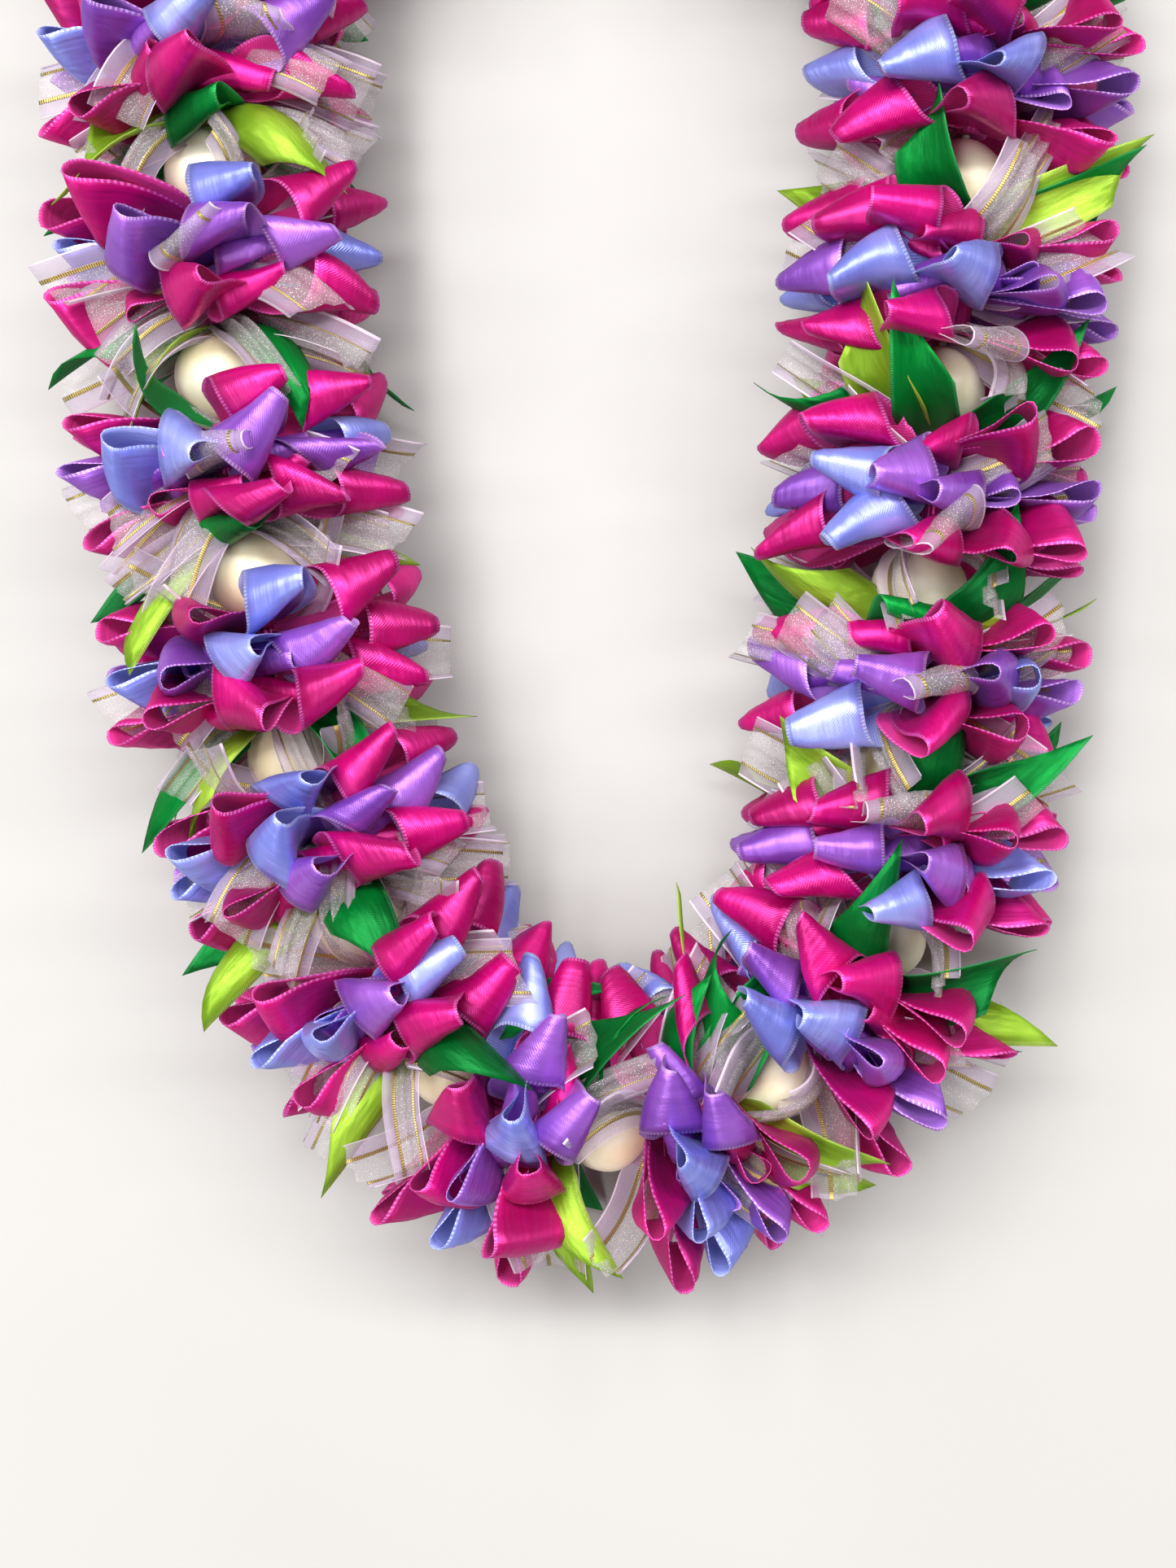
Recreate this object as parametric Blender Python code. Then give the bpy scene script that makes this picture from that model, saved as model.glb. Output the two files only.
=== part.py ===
"""Ribbon lei: nuts threaded on a cord, with gathered satin and organza ribbon between them.

The lei lies flat on a surface as one closed loop, long in Y, with +Z up. Every shape is worked out in
the space round the cord: a distance along it, an angle round it and a reach away from it.
Angle 0 points up, 90 degrees points out of the loop and -90 degrees points into its hole.
"""

import math
import random

import bmesh
import bpy
import numpy as np
from mathutils import Matrix, Vector

MM = 0.001

# The loop: the middles of the nuts down the left strand and up the right one, then an arch of four
# more that closes it at the top. All are in mm.
STRAND_NUTS = [
    (-118.0, 251.0), (-115.6, 187.9), (-111.9, 125.4), (-101.9, 64.6), (-90.1, 8.9),
    (-70.6, -41.6), (-42.0, -85.5), (5.5, -105.5), (54.9, -88.6), (89.4, -46.6),
    (96.4, 7.1), (101.4, 60.4), (107.4, 120.4), (114.4, 183.9), (116.9, 245.9),
]
ARCH_NUTS = 4
ARCH_MIDDLE = (-0.5, 249.0)
ARCH_HALF_WIDTH = 117.5
ARCH_HEIGHT = 91.5
CORD_HEIGHT = 43.0 * MM

CORD_RADIUS = 1.2 * MM
CORD_STEPS_PER_NUT = 5

NUT_LENGTH = 28.0 * MM
NUT_WIDTH = 30.0 * MM
NUT_BORE = 2.8 * MM
NUT_SIDES = 10
NUT_RINGS = 7
NUT_LOBES = 5
NUT_LOBE_DEPTH = 0.03

# The gathered cores on the cord. The bloom's core takes BLOOM_SHARE of the room between two nuts and
# the spray's core has the rest.
CORE_BORE = 2.7 * MM
BLOOM_CORE = 8.0 * MM
SPRAY_CORE = 7.6 * MM
BLOOM_SHARE = 0.80
NUT_GAP = 0.8 * MM
CORE_GAP = 0.35 * MM
WALL = 0.9 * MM

# Each bloom has three rings of petals. RING_ROWS are the shares that a ring takes of the core: a leg,
# the room inside the loops, the other leg and a rest. At the lei's outside a ring fills FAN_STEP of
# the distance from nut to nut.
RINGS = 3
PETALS_PER_RING = 6
RING_ROWS = (0.33, 0.25, 0.33, 0.09)
FAN_STEP = 0.285
RING_LEAN = math.radians(15)
SWAY = math.radians(4)

# A petal is a satin loop with a tight edge, whose tip reaches furthest, and an open edge.
PETAL_WIDTH = 31.0 * MM
TIGHT_REACH = 48.5 * MM
OPEN_REACH = 42.5 * MM
REACH_VARIES = (-2.0 * MM, 0.5 * MM)
TIGHT_HALF = 1.8 * MM
TIGHT_SHARE = 0.8
RING_GAP = 1.3 * MM
FLAT_FOOT = math.radians(24)

SPRAY_BLADES = 7
LEAF_WIDTHS = (17.0 * MM, 23.0 * MM)
LEAF_REACHES = (24.0 * MM, 41.0 * MM, 56.0 * MM)
TAIL_WIDTHS = (14.0 * MM, 20.0 * MM)
TAIL_REACHES = (23.0 * MM, 45.0 * MM)
BLADE_FLOOR = 0.35 * MM

COLOURS = {
    "cord": ((0.62, 0.57, 0.45), 0.8, 0.0),
    "nut": ((0.86, 0.80, 0.55), 0.2, 0.0),
    "satin_magenta": ((0.55, 0.002, 0.13), 0.35, 0.0),
    "satin_purple": ((0.22, 0.045, 0.50), 0.35, 0.0),
    "satin_periwinkle": ((0.19, 0.26, 0.79), 0.35, 0.0),
    "satin_green": ((0.004, 0.22, 0.03), 0.4, 0.0),
    "satin_lime": ((0.33, 0.60, 0.015), 0.4, 0.0),
    "organza": ((0.51, 0.40, 0.51), 0.5, 0.0),
}
BLOOM_SLOTS = ("satin_magenta", "satin_purple", "satin_periwinkle")
SPRAY_SLOTS = ("satin_green", "satin_lime", "organza")


def clear_scene():
    for old in list(bpy.data.objects):
        bpy.data.objects.remove(old, do_unlink=True)


def finishes():
    """One Principled material for each finish in COLOURS."""
    made = {}
    for name, (colour, roughness, metallic) in COLOURS.items():
        made[name] = bpy.data.materials.new(name)
        made[name].use_nodes = True
        shader = made[name].node_tree.nodes["Principled BSDF"]
        shader.inputs["Base Color"].default_value = (*colour, 1.0)
        shader.inputs["Roughness"].default_value = roughness
        shader.inputs["Metallic"].default_value = metallic
    return made


def nut_middles():
    """The middles of all nuts round the loop, in metres: the two strands, then the arch."""
    turn = np.linspace(0.0, math.pi, 400)
    arch = np.stack([ARCH_HALF_WIDTH * np.cos(turn), ARCH_HEIGHT * np.sin(turn)], axis=1)
    arch += np.array(ARCH_MIDDLE)
    run = np.concatenate([[0.0], np.cumsum(np.linalg.norm(np.diff(arch, axis=0), axis=1))])
    stops = run[-1] * np.arange(1, ARCH_NUTS + 1) / (ARCH_NUTS + 1)
    top = np.stack([np.interp(stops, run, arch[:, axis]) for axis in (0, 1)], axis=1)
    return np.concatenate([np.array(STRAND_NUTS), top]) * MM


def closed_curve(points, steps):
    """A smooth closed cubic through the points, with steps places to each span."""
    count = len(points)
    ahead = np.roll(points, -1, axis=0)
    chord = np.linalg.norm(ahead - points, axis=1)
    slope = (ahead - points) / chord[:, None]
    system = np.zeros((count, count))
    for i in range(count):
        system[i, i - 1] = chord[i - 1]
        system[i, i] = 2.0 * (chord[i - 1] + chord[i])
        system[i, (i + 1) % count] = chord[i]
    bend = np.linalg.solve(system, 6.0 * (slope - np.roll(slope, 1, axis=0)))
    far = np.linspace(0.0, 1.0, steps, endpoint=False)[:, None]
    near = 1.0 - far
    spans = []
    for i in range(count):
        j = (i + 1) % count
        line = near * points[i] + far * points[j]
        sag = (near**3 - near) * bend[i] + (far**3 - far) * bend[j]
        spans.append(line + sag * chord[i] ** 2 / 6.0)
    return np.concatenate(spans)


class Strand:
    """The cord's middle line, read by the distance along it."""

    STEPS = 40

    def __init__(self):
        self.line = closed_curve(nut_middles(), self.STEPS)
        steps = np.linalg.norm(np.roll(self.line, -1, axis=0) - self.line, axis=1)
        self.run = np.concatenate([[0.0], np.cumsum(steps)])
        self.line = np.concatenate([self.line, self.line[:1]])
        self.length = self.run[-1]
        self.nuts = [float(s) for s in self.run[:: self.STEPS]]

    def point(self, s):
        """The point on the line at a distance along it, which may run past the end and round again."""
        s = s % self.length
        x, y = (np.interp(s, self.run, self.line[:, axis]) for axis in (0, 1))
        return Vector((x, y, CORD_HEIGHT))

    def along(self, s, step=1.0 * MM):
        return (self.point(s + step) - self.point(s - step)).normalized()

    def round(self, s, angle):
        """The direction at an angle round the cord."""
        ahead = self.along(s)
        out = Vector((ahead.y, -ahead.x, 0.0))
        return Vector((0.0, 0.0, math.cos(angle))) + out * math.sin(angle)

    def place(self, s, angle, reach, shift=0.0):
        """A point in the space round the cord, with a last shift in the cord's direction."""
        return self.point(s) + self.round(s, angle) * reach + self.along(s) * shift

    def squeeze(self, s, angle, reach, step=4.0 * MM):
        """How much shorter or longer a step is at this reach than on the cord itself."""
        apart = self.place(s + step, angle, reach) - self.place(s - step, angle, reach)
        return apart.length / (2.0 * step)


def blend(a, b, share):
    return a + (b - a) * share


def face(bm, corners, slot=0):
    """A face of one colour. One with four corners is split from the first to the third."""
    bm.faces.new(corners).material_index = slot


def skin(bm, low, high, slot=0):
    """Joins two rings of four points, split alike on both faces of the band."""
    face(bm, [low[0], low[1], high[1], high[0]], slot)
    face(bm, [low[1], low[2], high[2], high[1]], slot)
    face(bm, [low[3], high[3], high[2], low[2]], slot)
    face(bm, [low[3], low[0], high[0], high[3]], slot)


def core(bm, strand, stations, sides, radius, turn, open_rows):
    """The gathered core on the cord, a bored tube. Faces in open_rows are left out, for the roots."""
    angles = [turn + math.tau * c / sides for c in range(sides)]
    rings = [[bm.verts.new(strand.place(s, a, radius)) for a in angles] for s in stations]
    bore_stations = (stations[0], 0.5 * (stations[0] + stations[-1]), stations[-1])
    bores = [[bm.verts.new(strand.place(s, a, CORE_BORE)) for a in angles] for s in bore_stations]
    for c in range(sides):
        d = (c + 1) % sides
        for row in range(len(rings) - 1):
            if row not in open_rows:
                face(bm, [rings[row][c], rings[row][d], rings[row + 1][d], rings[row + 1][c]])
        for near, far in zip(bores, bores[1:]):
            face(bm, [near[d], near[c], far[c], far[d]])
        face(bm, [rings[0][d], rings[0][c], bores[0][c], bores[0][d]])
        face(bm, [rings[-1][c], rings[-1][d], bores[-1][d], bores[-1][c]])
    return rings


def on_floor(outer, inner):
    """Keeps a wall above the floor: what would sink lies flat on it, at its full thickness."""
    outer.z = max(outer.z, 0.0)
    inner.z = max(inner.z, WALL)
    return outer, inner


class Layer:
    """The room of one ring of petals: narrow at the core, wide at the lei's outside."""

    def __init__(self, root_first, root_last, fan_first, fan_last):
        self.root = (root_first, root_last)
        self.fan = (fan_first, fan_last)

    def bounds(self, reach):
        share = (reach - BLOOM_CORE) / (TIGHT_REACH - BLOOM_CORE)
        return [blend(near, far, share) for near, far in zip(self.root, self.fan)]

    def middle(self, reach):
        return sum(self.bounds(reach)) / 2.0

    def room(self, reach):
        first, last = self.bounds(reach)
        return last - first


class Petal:
    """One satin loop: two legs from the core that meet over a lip, one edge tight and one open."""

    def __init__(self, strand, layer, angle, dice):
        self.strand = strand
        self.layer = layer
        spread = PETAL_WIDTH / TIGHT_REACH / 2.0
        self.angles = (angle - spread, angle + spread)
        self.tight_edge = dice.randrange(2)
        self.reaches = [
            reach + dice.uniform(*REACH_VARIES) for reach in (TIGHT_REACH, OPEN_REACH)
        ]
        if self.tight_edge == 1:
            self.reaches.reverse()
        self.foot = abs(math.remainder(angle - math.pi, math.tau)) < FLAT_FOOT

    def half_opening(self, edge):
        """Half of the way across the loop at an edge."""
        angle, reach = self.angles[edge], self.reaches[edge]
        squeeze = self.strand.squeeze(self.layer.middle(reach), angle, reach)
        widest = 0.5 * (self.layer.room(reach) * squeeze - RING_GAP)
        return min(TIGHT_HALF, TIGHT_SHARE * widest) if edge == self.tight_edge else widest

    def corner(self, side):
        """The ring of four points where a leg turns over: side is -1 or 1 along the cord."""
        pairs = []
        for edge in (0, 1):
            angle, reach, half = self.angles[edge], self.reaches[edge], self.half_opening(edge)
            s = self.layer.middle(reach)
            outer = self.strand.place(s, angle, reach, side * half)
            inner = self.strand.place(s, angle, reach - WALL, side * (half - WALL))
            if self.foot:
                outer.z, inner.z = 0.0, WALL
            pairs.append(on_floor(outer, inner))
        (outer_0, inner_0), (outer_1, inner_1) = pairs
        return [outer_0, outer_1, inner_1, inner_0]


def core_ends(strand, index):
    """Where the bloom's core and the spray's core begin and end between two nuts."""
    first = strand.nuts[index] + NUT_LENGTH / 2.0 + NUT_GAP
    last = strand.nuts[index + 1] - NUT_LENGTH / 2.0 - NUT_GAP
    middle = blend(first, last, BLOOM_SHARE)
    return (first, middle), (middle + CORE_GAP, last)


def ring_stations(first, last):
    """Where each row of a bloom's core begins, with the end of the last leg."""
    shares = np.concatenate([[0.0], np.cumsum(RING_ROWS * RINGS)])[:-1]
    return [blend(first, last, float(share / shares[-1])) for share in shares]


def build_bloom(strand, index, dice):
    """Three rings of satin loops between two nuts: magenta, purple with periwinkle, magenta."""
    start, end = strand.nuts[index], strand.nuts[index + 1]
    fan_width = FAN_STEP * (end - start)
    stations = ring_stations(*core_ends(strand, index)[0])
    rows = len(RING_ROWS)
    leg_rows = [row for row in range(len(stations) - 1) if row % rows in (0, 2)]
    turn = dice.uniform(0.0, math.tau / PETALS_PER_RING)
    bm = bmesh.new()
    rings = core(bm, strand, stations, PETALS_PER_RING, BLOOM_CORE, turn, leg_rows)
    for ring in range(RINGS):
        root = rings[rows * ring : rows * ring + 4]
        ends = stations[rows * ring], stations[rows * ring + 3]
        layer = Layer(*ends, start + ring * fan_width, start + (ring + 1) * fan_width)
        is_middle = ring == 1
        lean = RING_LEAN if is_middle else -RING_LEAN
        for c in range(PETALS_PER_RING):
            d = (c + 1) % PETALS_PER_RING
            slot = 1 + (c + index) % 2 if is_middle else 0
            angle = turn + math.tau * (c + 0.5) / PETALS_PER_RING + lean
            petal = Petal(strand, layer, angle + dice.uniform(-SWAY, SWAY), dice)
            sections = [
                [root[0][c], root[0][d], root[1][d], root[1][c]],
                [bm.verts.new(point) for point in petal.corner(-1)],
                [bm.verts.new(point) for point in petal.corner(1)],
                [root[3][c], root[3][d], root[2][d], root[2][c]],
            ]
            for low, high in zip(sections, sections[1:]):
                skin(bm, low, high, slot)
    return bm


def blade_ring(strand, s, angle, reach, width):
    """Four points across a flat blade: wide round the cord, thin along it."""
    pairs = []
    for side in (-0.5, 0.5):
        turned = angle + side * width / reach
        near = strand.place(s, turned, reach, -WALL / 2.0)
        far = strand.place(s, turned, reach, WALL / 2.0)
        pairs.append((near, far))
    points = [pairs[0][0], pairs[1][0], pairs[1][1], pairs[0][1]]
    for point in points:
        point.z = max(point.z, BLADE_FLOOR)
    return points


def build_spray(strand, index, dice):
    """A ring of green leaves and organza tails that lean over the next nut."""
    start, end = strand.nuts[index], strand.nuts[index + 1]
    ends = core_ends(strand, index)[1]
    bm = bmesh.new()
    rings = core(bm, strand, ends, SPRAY_BLADES, SPRAY_CORE, 0.0, [0])
    layer = Layer(*ends, blend(start, end, FAN_STEP * RINGS), end)
    for c in range(SPRAY_BLADES):
        d = (c + 1) % SPRAY_BLADES
        low = [rings[0][c], rings[0][d], rings[1][d], rings[1][c]]
        angle = math.tau * (c + 0.5) / SPRAY_BLADES
        is_leaf = c % 2 == 0
        slot = (c // 2 + index) % 2 if is_leaf else 2
        reaches, widths = (LEAF_REACHES, LEAF_WIDTHS) if is_leaf else (TAIL_REACHES, TAIL_WIDTHS)
        for reach, width in zip(reaches, widths):
            turned = angle + dice.uniform(-SWAY, SWAY)
            points = blade_ring(strand, layer.middle(reach), turned, reach, width)
            ring = [bm.verts.new(point) for point in points]
            skin(bm, low, ring, slot)
            low = ring
        if is_leaf:
            tip = blade_ring(strand, layer.middle(reaches[-1]), angle, reaches[-1], 0.0)
            point_leaf(bm, low, tip, slot)
        else:
            face(bm, low, slot)
    return bm


def point_leaf(bm, low, tip, slot):
    """Closes a leaf in a pointed tip, one wall thick."""
    near = bm.verts.new((tip[0] + tip[1]) / 2.0)
    far = bm.verts.new((tip[2] + tip[3]) / 2.0)
    face(bm, [low[0], low[1], near], slot)
    face(bm, [low[1], low[2], far, near], slot)
    face(bm, [low[2], low[3], far], slot)
    face(bm, [low[3], low[0], near, far], slot)


def build_nut():
    """A bored nut turned about X round its own middle, then pressed into faint lobes."""
    bm = bmesh.new()
    bore_tilt = math.acos(NUT_BORE / (NUT_WIDTH / 2.0))
    profile = []
    for k in range(NUT_RINGS):
        tilt = blend(-bore_tilt, bore_tilt, k / (NUT_RINGS - 1))
        x = NUT_LENGTH / 2.0 * math.sin(tilt) / math.sin(bore_tilt)
        profile.append(bm.verts.new((x, 0.0, NUT_WIDTH / 2.0 * math.cos(tilt))))
    edges = [bm.edges.new(pair) for pair in zip(profile, profile[1:] + profile[:1])]
    axis = Vector((1.0, 0.0, 0.0))
    bmesh.ops.spin(
        bm, geom=profile + edges, cent=(0.0, 0.0, 0.0), axis=axis, angle=math.tau,
        steps=NUT_SIDES, use_merge=True,
    )
    bmesh.ops.remove_doubles(bm, verts=bm.verts[:], dist=0.01 * MM)
    for vertex in bm.verts:
        angle = math.atan2(vertex.co.y, vertex.co.z)
        out = math.hypot(vertex.co.y, vertex.co.z) / (NUT_WIDTH / 2.0)
        lobe = 1.0 + NUT_LOBE_DEPTH * math.cos(NUT_LOBES * angle) * out
        vertex.co.y *= lobe
        vertex.co.z *= lobe
    bmesh.ops.recalc_face_normals(bm, faces=bm.faces[:])
    return mesh_from(bm, "nut")


def nut_matrix(strand, index):
    """Seats a nut on the bent cord: its axis is the chord, and its middle splits the sag."""
    s = strand.nuts[index]
    half = NUT_LENGTH / 2.0
    chord = strand.point(s + half) - strand.point(s - half)
    middle = (strand.point(s + half) + strand.point(s - half)) / 2.0
    middle = (middle + strand.point(s)) / 2.0
    turn = chord.to_track_quat("X", "Z").to_matrix().to_4x4()
    roll = Matrix.Rotation(math.tau / NUT_SIDES * (index % 2), 4, "X")
    return Matrix.Translation(middle) @ turn @ roll


def build_cord(strand):
    """The cord as a closed curve with a round section."""
    curve = bpy.data.curves.new("cord", "CURVE")
    curve.dimensions = "3D"
    curve.bevel_depth = CORD_RADIUS
    curve.bevel_resolution = 1
    spline = curve.splines.new("POLY")
    count = CORD_STEPS_PER_NUT * (len(strand.nuts) - 1)
    spline.points.add(count - 1)
    for k, point in enumerate(spline.points):
        point.co = (*strand.point(strand.length * k / count), 1.0)
    spline.use_cyclic_u = True
    return curve


def add_object(name, shape, slots, materials, parent):
    if not shape.materials:
        for slot in slots:
            shape.materials.append(materials[slot])
    made = bpy.data.objects.new(name, shape)
    made.parent = parent
    bpy.context.scene.collection.objects.link(made)
    return made


def mesh_from(bm, name):
    bmesh.ops.triangulate(bm, faces=bm.faces[:], quad_method="FIXED")
    mesh = bpy.data.meshes.new(name)
    bm.to_mesh(mesh)
    bm.free()
    return mesh


def centre_on_floor(parent, pieces):
    """Puts the origin under the middle of the whole loop, on the surface that it lies on."""
    corners = [
        piece.matrix_world @ Vector(corner) for piece in pieces for corner in piece.bound_box
    ]
    low = [min(corner[axis] for corner in corners) for axis in range(3)]
    high = [max(corner[axis] for corner in corners) for axis in range(3)]
    parent.location = (-(low[0] + high[0]) / 2.0, -(low[1] + high[1]) / 2.0, -low[2])


def main():
    clear_scene()
    materials = finishes()
    strand = Strand()
    lei = bpy.data.objects.new("lei", None)
    bpy.context.scene.collection.objects.link(lei)
    pieces = [add_object("cord", build_cord(strand), ["cord"], materials, lei)]
    nut_mesh = build_nut()
    for index in range(len(strand.nuts) - 1):
        nut = add_object(f"nut_{index:02d}", nut_mesh, ["nut"], materials, lei)
        nut.matrix_local = nut_matrix(strand, index)
        pieces.append(nut)
        for kind, build, slots in (
            ("bloom", build_bloom, BLOOM_SLOTS),
            ("spray", build_spray, SPRAY_SLOTS),
        ):
            dice = random.Random(f"{kind} {index}")
            name = f"{kind}_{index:02d}"
            mesh = mesh_from(build(strand, index, dice), name)
            pieces.append(add_object(name, mesh, slots, materials, lei))
    bpy.context.view_layer.update()
    centre_on_floor(lei, pieces)


main()
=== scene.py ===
# %% [markdown]
# # A ribbon lei in Blender
# A ribbon lei is a closed garland. Polished nuts are threaded on a cord, and between every two nuts the
# maker gathers short lengths of satin and sheer ribbon into loops and leaves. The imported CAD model
# gives the place and the size of every part. It is loaded first and is never moved, and every piece
# that is made below stands for one of its nodes. Blender's noise starts from the clock unless it is
# given a seed, so it gets one here, and the garland comes out the same on each run.

# %% Load the frame
import math
import random

import bmesh
import bpy
import numpy as np
from mathutils import Matrix, Vector, noise


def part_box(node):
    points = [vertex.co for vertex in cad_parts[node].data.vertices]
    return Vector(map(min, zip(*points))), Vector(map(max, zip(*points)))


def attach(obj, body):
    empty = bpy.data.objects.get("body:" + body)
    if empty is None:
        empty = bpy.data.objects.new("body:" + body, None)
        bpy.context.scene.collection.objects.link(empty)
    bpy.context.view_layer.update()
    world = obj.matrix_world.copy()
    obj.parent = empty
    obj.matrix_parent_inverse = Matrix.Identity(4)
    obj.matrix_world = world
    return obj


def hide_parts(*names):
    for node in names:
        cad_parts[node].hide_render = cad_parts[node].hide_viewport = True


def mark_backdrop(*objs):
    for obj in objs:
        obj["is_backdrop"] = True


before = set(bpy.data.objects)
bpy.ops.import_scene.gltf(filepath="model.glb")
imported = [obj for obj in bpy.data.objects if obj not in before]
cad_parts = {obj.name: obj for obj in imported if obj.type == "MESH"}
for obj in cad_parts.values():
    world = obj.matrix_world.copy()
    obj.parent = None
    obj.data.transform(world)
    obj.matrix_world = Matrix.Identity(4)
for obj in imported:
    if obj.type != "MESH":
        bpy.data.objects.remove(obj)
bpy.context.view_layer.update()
noise.seed_set(7)
MM = 0.001
NUTS = sum(name.startswith("nut_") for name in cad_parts)

# %% [markdown]
# ## The line of the cord
# Every shape on a garland follows its cord. The line could be drawn by hand, but the nuts of the frame
# already say where it runs, so a smooth closed curve is laid through their middles: a periodic cubic
# spline. On it a place is a distance along the cord, an angle round it and a reach away from it.
# Angle 0 points up, and a positive angle leans out of the loop.

# %% The line of the cord


def nut_middle(index):
    low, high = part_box(f"nut_{index:02d}")
    return (low + high) / 2


def closed_curve(points, steps):
    count = len(points)
    ahead = np.roll(points, -1, axis=0)
    chord = np.linalg.norm(ahead - points, axis=1)
    slope = (ahead - points) / chord[:, None]
    system = np.zeros((count, count))
    for i in range(count):
        system[i, i - 1] = chord[i - 1]
        system[i, i] = 2.0 * (chord[i - 1] + chord[i])
        system[i, (i + 1) % count] = chord[i]
    bend = np.linalg.solve(system, 6.0 * (slope - np.roll(slope, 1, axis=0)))
    far = np.linspace(0.0, 1.0, steps, endpoint=False)[:, None]
    near = 1.0 - far
    spans = []
    for i in range(count):
        j = (i + 1) % count
        line = near * points[i] + far * points[j]
        sag = (near**3 - near) * bend[i] + (far**3 - far) * bend[j]
        spans.append(line + sag * chord[i] ** 2 / 6.0)
    return np.concatenate(spans)


class Strand:
    """The cord's line. A turned frame on it carries each petal, leaf and nut."""

    STEPS = 40

    def __init__(self):
        middles = [nut_middle(i) for i in range(NUTS)]
        self.height = sum(m.z for m in middles) / NUTS
        line = closed_curve(np.array([(m.x, m.y) for m in middles]), self.STEPS)
        steps = np.linalg.norm(np.roll(line, -1, axis=0) - line, axis=1)
        self.run = np.concatenate([[0.0], np.cumsum(steps)])
        self.line = np.concatenate([line, line[:1]])
        self.length = float(self.run[-1])
        self.nuts = [float(s) for s in self.run[:: self.STEPS]]

    def point(self, s):
        s = s % self.length
        x, y = (np.interp(s, self.run, self.line[:, axis]) for axis in (0, 1))
        return Vector((x, y, self.height))

    def turned(self, s, angle):
        """Axes at a place: X along the cord, Z out at the angle, Y round the cord."""
        ahead = (self.point(s + MM) - self.point(s - MM)).normalized()
        out = Vector((ahead.y, -ahead.x, 0.0))
        reach = Vector((0.0, 0.0, math.cos(angle))) + out * math.sin(angle)
        side = reach.cross(ahead)
        turn = Matrix((ahead, side, reach)).transposed().to_4x4()
        return Matrix.Translation(self.point(s)) @ turn


strand = Strand()
pitches = [b - a for a, b in zip(strand.nuts, strand.nuts[1:])]
print("loop of", round(strand.length / MM), "mm, nuts", round(min(pitches) / MM), "to",
      round(max(pitches) / MM), "mm apart")

# %% [markdown]
# ## Camera, floor and light
# The garland is seen from straight above, so the camera hangs an arm's length over it and looks down.
# Satin shows its folds by bright streaks, and a streak only appears where a fold mirrors a light. One
# big soft lamp would make the ribbon look like paper, so two long narrow lights cross each other and
# give a streak to nearly every fold. The sky is pale only near the horizon: it fills the shadows from
# the sides, and in views from low down it is a quiet background.

# %% Camera and stage
scene = bpy.context.scene
scene.view_settings.view_transform = "Standard"
CAMERA_OVER = (0.00053, -0.11809)
CAMERA_RISE = 0.669
LENS = 50.0
SENSOR = 36.0
SKY_FROM, SKY_TO = 0.08, 0.50
SKY_LOW, SKY_HIGH = 0.72, 0.05
OVER_THE_LEI = (0.0, 0.0, 0.03)
LONG_LIGHT = (6.0, 0.50)


def add_camera():
    data = bpy.data.cameras.new("camera")
    data.lens = LENS
    data.sensor_fit = "AUTO"
    data.sensor_width = SENSOR
    camera = bpy.data.objects.new("camera", data)
    camera.location = (*CAMERA_OVER, strand.height + CAMERA_RISE)
    scene.collection.objects.link(camera)
    scene.camera = camera


def add_light(name, place, watts):
    data = bpy.data.lights.new(name, "AREA")
    data.shape = "RECTANGLE"
    data.size, data.size_y = LONG_LIGHT
    data.energy = watts
    light = bpy.data.objects.new(name, data)
    light.location = place
    aim = Vector(OVER_THE_LEI) - Vector(place)
    light.rotation_euler = aim.to_track_quat("-Z", "Y").to_euler()
    scene.collection.objects.link(light)


def pale_horizon():
    """A sky that dims from the horizon up, so the shadows seen from above keep some depth."""
    world = bpy.data.worlds.new("studio")
    world.use_nodes = True
    nodes, links = world.node_tree.nodes, world.node_tree.links
    split = nodes.new("ShaderNodeSeparateXYZ")
    links.new(nodes.new("ShaderNodeTexCoord").outputs["Generated"], split.inputs[0])
    height = nodes.new("ShaderNodeMapRange")
    height.interpolation_type = "SMOOTHSTEP"
    for value, socket in zip((SKY_FROM, SKY_TO, SKY_LOW, SKY_HIGH), height.inputs[1:5]):
        socket.default_value = value
    links.new(split.outputs[2], height.inputs[0])
    sky = nodes["Background"]
    sky.inputs["Color"].default_value = (1.0, 0.985, 0.96, 1.0)
    links.new(height.outputs[0], sky.inputs["Strength"])
    scene.world = world


add_camera()
add_light("long light across", (0.0, 1.05, 2.90), 170.0)
add_light("long light along", (-0.90, 0.0, 3.00), 120.0)
pale_horizon()

# %% [markdown]
# ## Building a material from nodes
# Each finish is a small graph of nodes. Writing every link by hand hides the idea, so a short class
# keeps the graph and offers the few steps that all the finishes share: a value worked out from others,
# a mix of two colours and a bump. The ribbon finishes read the UV map of the strip, because the weave
# follows the ribbon however it is bent: U runs along the ribbon and V across it.

# %% Node helpers


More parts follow.
